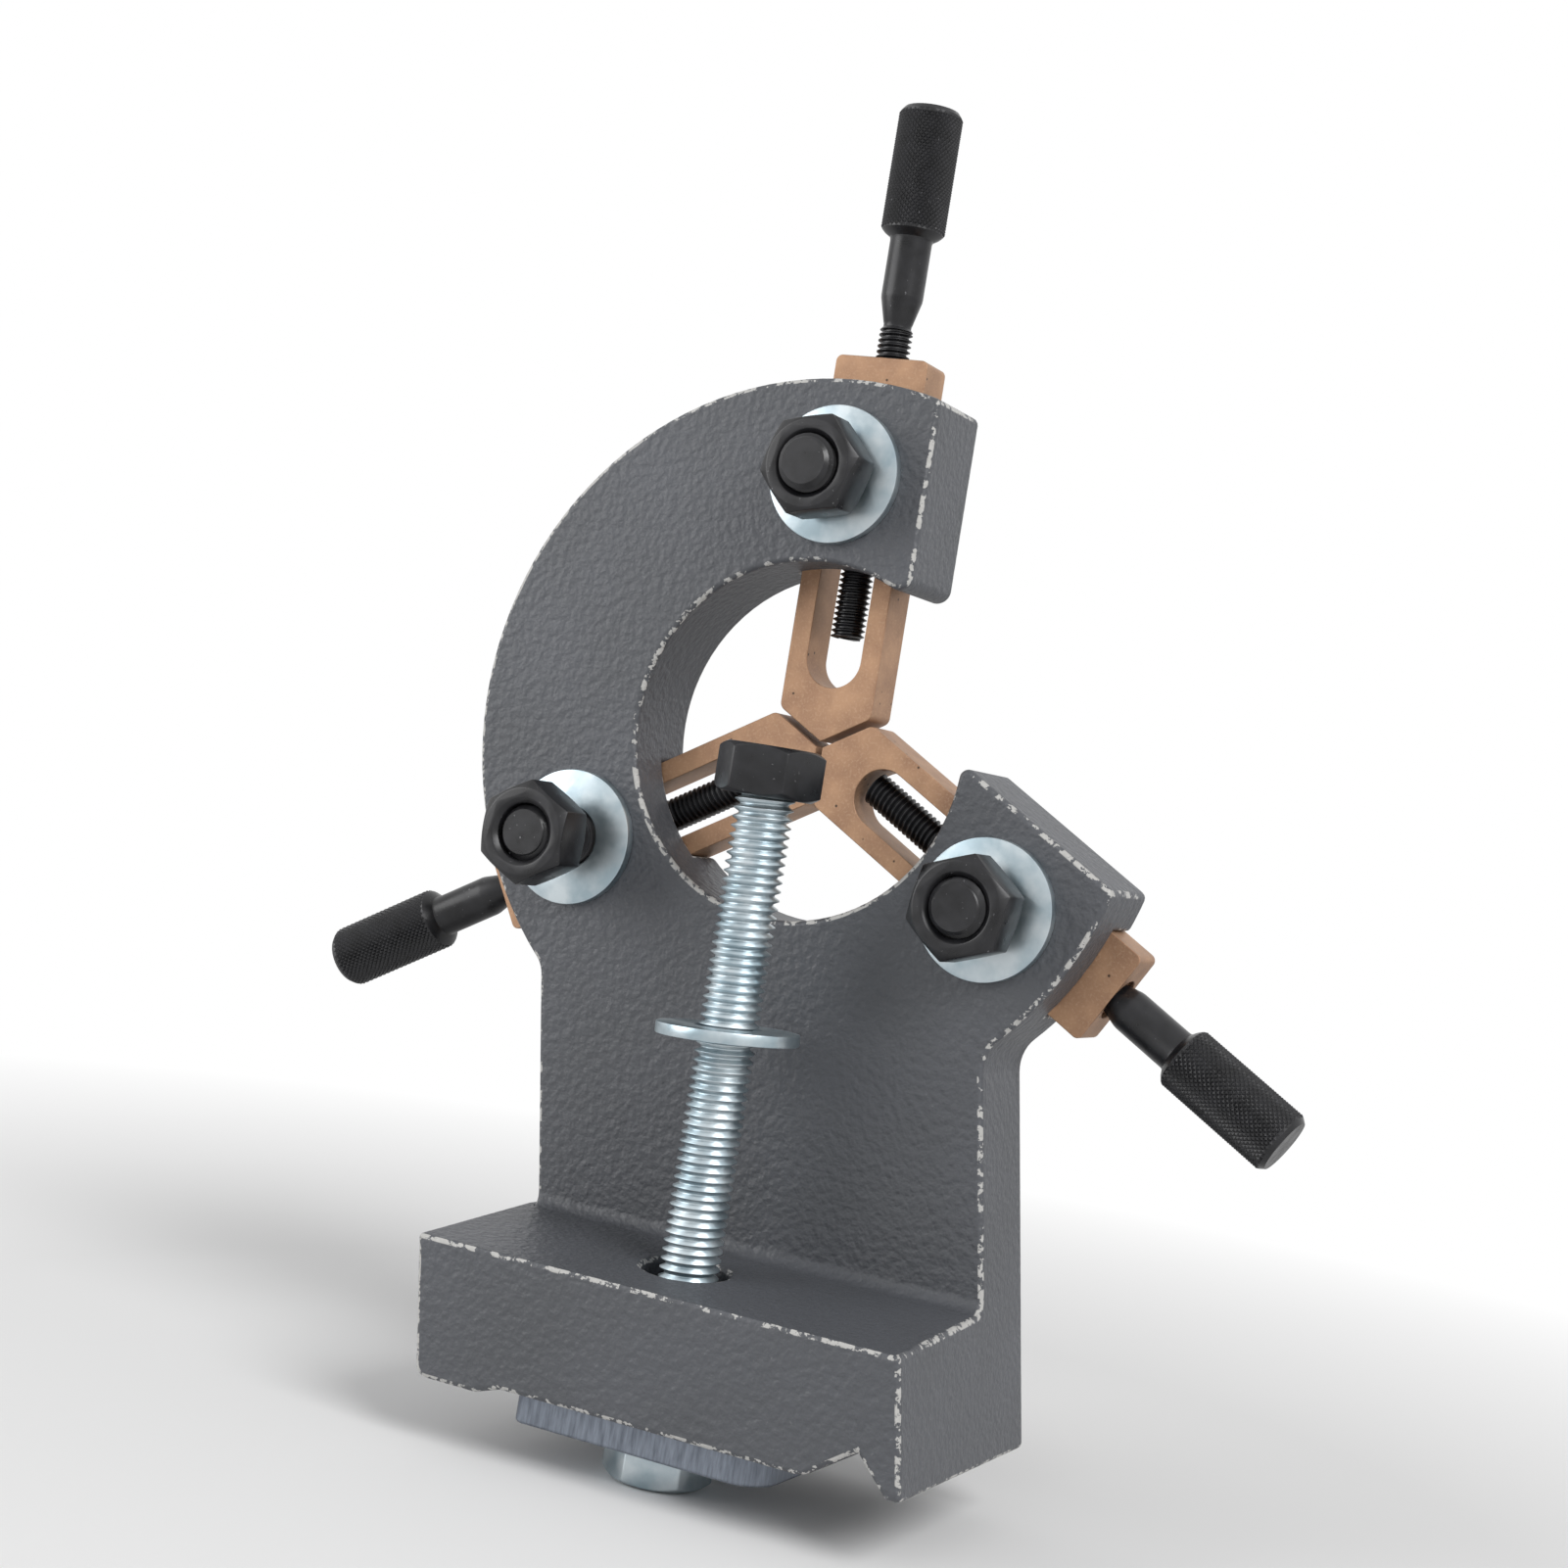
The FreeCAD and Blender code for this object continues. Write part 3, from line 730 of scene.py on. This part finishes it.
for side in SIDES:
    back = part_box(f"{side}_lock_washer")[1][1]
    finish_piece(
        own_copy(washer),
        f"{side}_zinc_washer",
        on_lock_circle(side, back),
        zinc_plate,
        f"{side}_washer",
        f"{side}_lock_washer",
    )

low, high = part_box("clamp_washer")
tilt = math.asin((high[2] - low[2] - WASHER_HEIGHT * MM) / (WASHER_DIAMETER * MM))
hang = Matrix.Translation(clamp_axis + Vector((0, 0, (low[2] + high[2]) / 2)))
hang = hang @ Matrix.Rotation(-tilt, 4, "Y") @ Matrix.Translation((0, 0, -WASHER_HEIGHT / 2 * MM))
finish_piece(
    washer,
    "clamp_zinc_washer",
    hang,
    zinc_plate,
    "clamp_washer",
    "clamp_washer",
)
print("the loose washer leans", round(math.degrees(tilt), 1), "degrees")

# %% [markdown]
# ## Hexagons
#
# Every nut and bolt head here is 16 mm across its flats. A hexagonal bar is cut to length and its
# corners are turned off at 30 degrees, which leaves the curved lines on each flat. So a six-sided
# prism is trimmed by a turned shape with sloping ends, and the upright edges are eased first.

# %% A hexagon with turned corners
HEAD_HEIGHT = 6.4
HEX_FLAT = 8.0
HEX_CORNER = HEX_FLAT / math.cos(math.radians(30))
FACE_RADIUS = 0.94 * HEX_FLAT
TRIM_RADIUS = 10.4
CORNER_FALL = (TRIM_RADIUS - FACE_RADIUS) * math.tan(math.radians(30))


def hexagon(low, high, turned_low=True, turned_high=True):
    """A hexagonal piece about Z, between two heights in mm, with its corners turned off."""
    bpy.ops.object.select_all(action="DESELECT")
    bpy.ops.mesh.primitive_cylinder_add(
        vertices=6,
        radius=HEX_CORNER * MM,
        depth=(high - low) * MM,
        location=(0, 0, (low + high) / 2 * MM),
        rotation=(0, 0, math.radians(30)),
    )
    bpy.ops.object.transform_apply(location=True, rotation=True, scale=True)
    piece = bpy.context.object

    def steps():
        pick("edges", is_upright)
        bpy.ops.mesh.bevel(offset=0.2 * MM, segments=2)

    in_edit_mode(piece, steps)
    lower, upper = [(TRIM_RADIUS, low - 1)], [(TRIM_RADIUS, high + 1)]
    if turned_low:
        lower = [(FACE_RADIUS, low), (TRIM_RADIUS, low + CORNER_FALL)]
    if turned_high:
        upper = [(TRIM_RADIUS, high - CORNER_FALL), (FACE_RADIUS, high)]
    return combined(piece, "INTERSECT", turned(lower + upper, 96))


def ease_edges(piece, width, sharp=20):
    """A narrow rounding on every outward edge that is sharper than this."""

    def steps():
        everything_outwards()
        bpy.ops.mesh.dissolve_limited(angle_limit=math.radians(0.5))
        pick("edges", lambda edge: outward_angle(edge) > sharp)
        bpy.ops.mesh.bevel(offset=width * MM, segments=2, clamp_overlap=True)

    return in_edit_mode(piece, steps)


print("corners of the hexagon stand", round(HEX_CORNER, 2), "mm from its axis")

# %% [markdown]
# ## Nuts
#
# A nut is a hexagon with a threaded bore, and the bore is countersunk at both faces so that the
# bolt starts easily. The thread in it lies against the bolt's and can't be seen, so the bore is
# plain. Each nut rests at its own angle, slackened off its washer.

# %% Nuts
NUT_TURNS = {"top": 12, "right": 20, "left": -30}
CLAMP_NUT_TURN = 12

nut = hexagon(0, 8.4)
bore = turned([(5.9, -1), (5.9, 0), (5.05, 0.85), (5.05, 7.55), (5.9, 8.4), (5.9, 9.4)], 96)
smooth(ease_edges(combined(nut, "DIFFERENCE", bore), 0.12), 30)

for side, turn in NUT_TURNS.items():
    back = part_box(f"{side}_lock_nut")[1][1]
    finish_piece(
        own_copy(nut),
        f"{side}_black_nut",
        on_lock_circle(side, back) @ Matrix.Rotation(math.radians(turn), 4, "Z"),
        black_oxide,
        f"{side}_nut",
        f"{side}_lock_nut",
    )

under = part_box("clamp_nut")[0][2]
on_clamp = Matrix.Translation(clamp_axis + Vector((0, 0, under)))
finish_piece(
    nut,
    "clamp_black_nut",
    on_clamp @ Matrix.Rotation(math.radians(CLAMP_NUT_TURN), 4, "Z"),
    black_oxide,
    "clamp_nut",
    "clamp_nut",
)

# %% [markdown]
# ## Threads
#
# A screw thread is a ridge wound round a rod. One pitch of its outline is drawn, and Blender's
# Screw modifier winds it up, a turn for each pitch. The ends of the winding are steps, so both are
# cut off flat and closed, and a turned shape with a cone at its end trims the chamfer that helps
# a nut to start.


# %% A threaded rod
THREAD_DEPTH = 0.6134  # of the pitch


def threaded_rod(diameter, pitch, low, high, lead, lead_low=0.0, steps_round=24):
    """A rod threaded all over, about Z between two heights in mm, with chamfered ends."""
    depth = THREAD_DEPTH * pitch
    outline = [(0, 0.25), (depth, 0.3125), (0, 0.125), (-depth, 0.3125)]
    turns = math.ceil((high - low) / pitch) + 2
    bpy.ops.object.select_all(action="DESELECT")
    bpy.ops.mesh.primitive_plane_add(size=1 * MM)
    piece = bpy.context.object

    def draw():
        bpy.ops.mesh.select_mode(type="VERT")
        bpy.ops.mesh.select_all(action="SELECT")
        bpy.ops.mesh.merge(type="CENTER")
        bpy.ops.mesh.select_all(action="SELECT")
        start = ((diameter / 2 - depth) * MM, 0, (low - pitch) * MM)
        bpy.ops.transform.translate(value=start)
        for out, along in outline:
            step = (out * MM, 0, along * pitch * MM)
            bpy.ops.mesh.extrude_region_move(TRANSFORM_OT_translate={"value": step})

    in_edit_mode(piece, draw)
    winding = piece.modifiers.new("Winding", "SCREW")
    winding.axis = "Z"
    winding.angle = math.tau
    winding.screw_offset = pitch * MM
    winding.iterations = turns
    winding.steps = steps_round
    winding.render_steps = steps_round
    winding.use_merge_vertices = True
    winding.merge_threshold = 0.002 * MM
    apply_modifiers(piece)

    def square_ends():
        for level, side in ((low, -1), (high, 1)):
            bpy.ops.mesh.select_all(action="SELECT")
            bpy.ops.mesh.bisect(
                plane_co=(0, 0, level * MM),
                plane_no=(0, 0, side),
                use_fill=True,
                clear_outer=True,
            )
        everything_outwards()

    in_edit_mode(piece, square_ends)
    full = diameter / 2 + 0.2
    trim = [(full, low - 1)]
    if lead_low:
        trim = [(diameter / 2 - lead_low, low), (full, low + lead_low + 0.2)]
    trim += [(full, high - lead - 0.2), (diameter / 2 - lead, high)]
    return combined(piece, "INTERSECT", turned(trim, 48))


trial = threaded_rod(10, 1.5, 0, 6, 1)
print("a 6 mm rod of M10 thread has", len(trial.data.polygons), "faces")
bpy.data.objects.remove(trial, do_unlink=True)

# %% [markdown]
# ## Lock bolts
#
# A lock bolt goes right through the ring from the back, across the jaw's slot, and shows its end
# through the nut at the front. The adjusting screw crosses it through a hole in its shank. Its
# head is turned flat on the bearing side, and only the last part of the shank is threaded.

# %% Lock bolts
TAIL_LENGTH = 20.8
END_CHAMFER = 1.1
CROSS_HOLE = 3.06

for side in SIDES:
    low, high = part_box(f"{side}_lock_bolt")
    head_level = high[1] - HEAD_HEIGHT * MM
    grip = (head_level - low[1]) / MM
    crossing = (head_level - jaw_axis) / MM
    lock_bolt = hexagon(-HEAD_HEIGHT, 0, turned_high=False)
    shank = turned([(5, -1), (5, grip - 21), (4.1, grip - 20.5)], 48)
    cross_hole = turned([(CROSS_HOLE, -9), (CROSS_HOLE, 9)], 48)
    cross_hole.data.transform(Matrix.Translation((0, 0, crossing * MM)) @ facing_front)
    combined(shank, "DIFFERENCE", cross_hole)
    tail = threaded_rod(10, 1.5, grip - TAIL_LENGTH, grip, END_CHAMFER)
    ease_edges(lock_bolt, 0.15)
    smooth(joined("lock_bolt", lock_bolt, shank, tail), 30)
    finish_piece(
        lock_bolt,
        f"{side}_black_bolt",
        on_lock_circle(side, head_level),
        black_oxide,
        "frame",
        f"{side}_lock_bolt",
    )

# %% [markdown]
# ## The clamp bolt
#
# The long bolt that pulls the plate up is threaded over its whole length, as a set screw is. It
# stands in the foot head down, with its nut near the top.

# %% Clamp bolt
under_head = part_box("clamp_plate")[0][2]
clamp_length = (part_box("clamp_bolt")[1][2] - under_head) / MM
clamp_bolt = hexagon(-HEAD_HEIGHT, 0, turned_high=False)
ease_edges(clamp_bolt, 0.15)
thread = threaded_rod(10, 1.5, -0.5, clamp_length, END_CHAMFER)
smooth(joined("clamp_bolt", clamp_bolt, thread), 65)
finish_piece(
    clamp_bolt,
    "clamp_zinc_bolt",
    Matrix.Translation(clamp_axis + Vector((0, 0, under_head)))
    @ Matrix.Rotation(math.radians(20), 4, "Z"),
    zinc_plate,
    "clamp_bolt",
    "clamp_bolt",
)

# %% [markdown]
# ## Knurling
#
# The adjusting screws are turned by hand, so their knobs are knurled: a wheel presses a pattern of
# small pyramids into the steel. On a sleeve of square cells, each cell is poked to give it a
# centre, and the cells' own edges are dissolved. What stays are diamonds, and poking those with a
# small lift makes a pyramid of each. One cell is 1 mm, so 36 go round.
#
# The ring at each end of the sleeve is then pulled on to make the ends of the knob, the shank, the
# taper and the neck, so the whole screw but its thread is one skin.

# %% A knurled screw
KNURL_CELLS = 36
KNURL_RADIUS = 5.48
KNURL_LIFT = 0.3


def pull_ring(stations, radius, level):
    """Pulls the selected ring of edges on through (radius, height) stations, and closes it."""
    for new_radius, new_level in stations:
        bpy.ops.mesh.extrude_region_move(
            TRANSFORM_OT_translate={"value": (0, 0, (new_level - level) * MM)}
        )
        share = new_radius / radius
        bpy.ops.transform.resize(value=(share, share, 1), center_override=(0, 0, new_level * MM))
        radius, level = new_radius, new_level
    bpy.ops.mesh.edge_face_add()


def knurled_handle(knob_low, knob_high, neck_low, taper_low):
    """A knob with its shank, taper and neck, about Z. All heights are in mm."""
    sleeve_low, sleeve_high = knob_low + 1.3, knob_high - 0.75
    rows = round((sleeve_high - sleeve_low) / (math.tau * 5.8 / KNURL_CELLS))
    row = (sleeve_high - sleeve_low) / rows
    bpy.ops.object.select_all(action="DESELECT")
    bpy.ops.mesh.primitive_circle_add(
        vertices=KNURL_CELLS, radius=KNURL_RADIUS * MM, location=(0, 0, sleeve_low * MM)
    )
    bpy.ops.object.transform_apply(location=True, rotation=True, scale=True)
    piece = bpy.context.object

    def at_end(edge, level):
        return is_level(edge) and abs(middle_height(edge) / MM - level) < 0.01

    def is_cell_edge(edge):
        return len(edge.link_faces) == 2 and (is_level(edge) or is_upright(edge))

    def steps():
        bpy.ops.mesh.select_all(action="SELECT")
        for _ in range(rows):
            bpy.ops.mesh.extrude_region_move(TRANSFORM_OT_translate={"value": (0, 0, row * MM)})
        bpy.ops.mesh.select_all(action="SELECT")
        bpy.ops.mesh.normals_make_consistent(inside=False)
        bpy.ops.mesh.poke()
        pick("edges", is_cell_edge)
        bpy.ops.mesh.dissolve_edges(use_verts=False)
        pick("faces", lambda face: len(face.verts) == 4)
        bpy.ops.mesh.poke(offset=KNURL_LIFT * MM)
        pick("edges", lambda edge: at_end(edge, sleeve_high))
        pull_ring([(5.45, knob_high - 0.7), (4.9, knob_high)], KNURL_RADIUS, sleeve_high)
        pick("edges", lambda edge: at_end(edge, sleeve_low))
        shank_end = knob_low - 0.35
        stations = [
            (4.9, knob_low + 0.75),
            (3.9, knob_low + 0.1),
            (3.75, shank_end),
            (3.75, taper_low + 4.9),
            (3.68, taper_low + 4.3),
            (2.6, taper_low + 0.1),
            (2.5, taper_low - 0.1),
            (2.5, neck_low + 0.5),
            (2.9, neck_low),
        ]
        pull_ring(stations, KNURL_RADIUS, sleeve_low)
        everything_outwards()

    in_edit_mode(piece, steps)
    return piece


trial = knurled_handle(100, 123.2, 83.6, 84.8)
print("a knurled handle has", len(trial.data.polygons), "faces")
bpy.data.objects.remove(trial, do_unlink=True)

# %% [markdown]
# ## Adjusting screws
#
# Each screw has the same handle and an M6 thread of its own length. How far each one is screwed in
# comes from its CAD solid: its outer end is the end of the knob, its inner end the thread's.

# %% Adjusting screws
KNOB_LENGTH = 23.2
SHANK_LENGTH = 15.2
NECK_LENGTH = 1.2

for side, angle in SIDES.items():
    turn = math.radians(angle)
    outward = (math.sin(turn), 0, math.cos(turn))
    inner, outer = (value / MM for value in reach(f"{side}_adjusting_screw", outward))
    knob_low = outer - KNOB_LENGTH
    taper_low = knob_low - SHANK_LENGTH
    neck_low = taper_low - NECK_LENGTH
    handle = knurled_handle(knob_low, outer, neck_low, taper_low)
    thread = threaded_rod(6, 1.0, inner, neck_low + 0.3, 0.4, lead_low=0.7, steps_round=20)
    smooth(joined("screw", handle, thread), 30)
    finish_piece(
        handle,
        f"{side}_knurled_screw",
        about_ring(angle) @ Matrix.Translation(RING_CENTRE + Vector((0, jaw_axis, 0))),
        black_oxide,
        f"{side}_screw",
        f"{side}_adjusting_screw",
    )

# %% [markdown]
# ## The floor and the light
#
# The steady rest stands on a plain white table in an even, soft light. The floor is white and
# takes the shadow; further out it fades into the white of the world, so that no horizon shows.
# The world is white to the camera and in reflections, and dimmer as a light, so that the lamps
# can shape the faces.

# %% Floor
FLOOR_GAP = 0.3
FLOOR_RADIUS = 3.0
FADE_START, FADE_END = 0.15, 0.40

floor_level = cad_box[0][2] - FLOOR_GAP * MM
bpy.ops.object.select_all(action="DESELECT")
bpy.ops.mesh.primitive_circle_add(
    vertices=96, radius=FLOOR_RADIUS, fill_type="NGON", location=(0, 0, floor_level)
)
bpy.ops.object.transform_apply(location=True, rotation=True, scale=True)
floor = bpy.context.object
floor.name = "white_table"

floor_white, tree, shader, place = new_material("matt_white_laminate")
shader.inputs["Base Color"].default_value = colour("#ececec")
shader.inputs["Roughness"].default_value = 0.9
distance = add(tree, "ShaderNodeVectorMath", {"operation": "LENGTH"}, {0: place})
fade = add(
    tree,
    RANGE,
    {},
    {"Value": distance.outputs["Value"], "From Min": FADE_START, "From Max": FADE_END},
)
seen = add(tree, "ShaderNodeLightPath", {}, {})
seen_fade = add(
    tree,
    MATHS,
    {"operation": "MULTIPLY"},
    {0: fade.outputs[0], 1: seen.outputs["Is Camera Ray"]},
)
white = add(tree, "ShaderNodeEmission", {}, {"Color": (1, 1, 1, 1), "Strength": 1.0})
faded = add(
    tree,
    "ShaderNodeMixShader",
    {},
    {0: seen_fade.outputs[0], 1: shader.outputs["BSDF"], 2: white.outputs["Emission"]},
)
output = next(node for node in tree.nodes if node.type == "OUTPUT_MATERIAL")
tree.links.new(faded.outputs["Shader"], output.inputs["Surface"])
floor.data.materials.append(floor_white)
print("the floor lies at z =", round(floor_level / MM, 1), "mm")

# %% World
WORLD_LIGHT = 0.44

world = bpy.data.worlds.new("white_studio")
bpy.context.scene.world = world
world.use_nodes = True
tree = world.node_tree
tree.nodes.clear()
rays = add(tree, "ShaderNodeLightPath", {}, {})
seen = add(
    tree,
    MATHS,
    {"operation": "MAXIMUM"},
    {0: rays.outputs["Is Camera Ray"], 1: rays.outputs["Is Transmission Ray"]},
)
seen_all = add(
    tree, MATHS, {"operation": "MAXIMUM"}, {0: seen.outputs[0], 1: rays.outputs["Is Glossy Ray"]}
)
strength = add(
    tree, RANGE, {}, {"Value": seen_all.outputs[0], "To Min": WORLD_LIGHT, "To Max": 1.0}
)
sky = add(
    tree,
    "ShaderNodeBackground",
    {},
    {"Color": (1, 1, 1, 1), "Strength": strength.outputs[0]},
)
add(tree, "ShaderNodeOutputWorld", {}, {"Surface": sky.outputs["Background"]})
print("the world lights at", WORLD_LIGHT, "and shows at 1")

# %% Lamps
LAMPS = {
    # name: place in metres from the ring's foot, size in metres, power in watts
    "key_from_upper_right": ((0.75, -0.45, 0.75), 0.6, 7.5),
    "fill_from_left": ((-0.8, -0.6, 0.35), 0.8, 5.0),
}
for name, (spot, size, power) in LAMPS.items():
    lamp = bpy.data.lights.new(name, "AREA")
    lamp.shape = "DISK"
    lamp.size = size
    lamp.energy = power
    holder = bpy.data.objects.new(name, lamp)
    holder.location = spot
    aim = Vector((0.0, -0.01, 0.1)) - Vector(spot)
    holder.rotation_euler = aim.to_track_quat("-Z", "Y").to_euler()
    bpy.context.scene.collection.objects.link(holder)
    print(name, power, "W")

# %% [markdown]
# ## The camera
#
# The camera stands a little right of the front and at the height of the ring, and it is rolled by
# nine degrees, so that the steady rest seems to lean. Its place and its three axes are worked out
# from a heading, a tilt and a roll.

# %% Camera
HEADING = math.radians(25.22)
TILT = math.radians(-0.69)
ROLL = math.radians(9.19)
CAMERA_PLACE = (0.1922, -0.4108, 0.1026)

back_axis = Vector(
    (
        math.sin(HEADING) * math.cos(TILT),
        -math.cos(HEADING) * math.cos(TILT),
        math.sin(TILT),
    )
)
level_axis = Vector((math.cos(HEADING), math.sin(HEADING), 0))
raised_axis = back_axis.cross(level_axis)
right_axis = math.cos(ROLL) * level_axis + math.sin(ROLL) * raised_axis
up_axis = -math.sin(ROLL) * level_axis + math.cos(ROLL) * raised_axis

camera_data = bpy.data.cameras.new("camera")
camera_data.sensor_width = 36
camera_data.lens = 59.54
camera_data.shift_x = -0.01468
camera_data.shift_y = -0.01156
camera_data.clip_start = 0.01
camera = bpy.data.objects.new("camera", camera_data)
axes = Matrix((right_axis, up_axis, back_axis)).transposed().to_4x4()
camera.matrix_world = Matrix.Translation(CAMERA_PLACE) @ axes
bpy.context.scene.collection.objects.link(camera)
bpy.context.scene.camera = camera
bpy.context.scene.view_settings.view_transform = "Standard"
print("the camera is", round((camera.location - RING_CENTRE).length / MM), "mm from the ring")
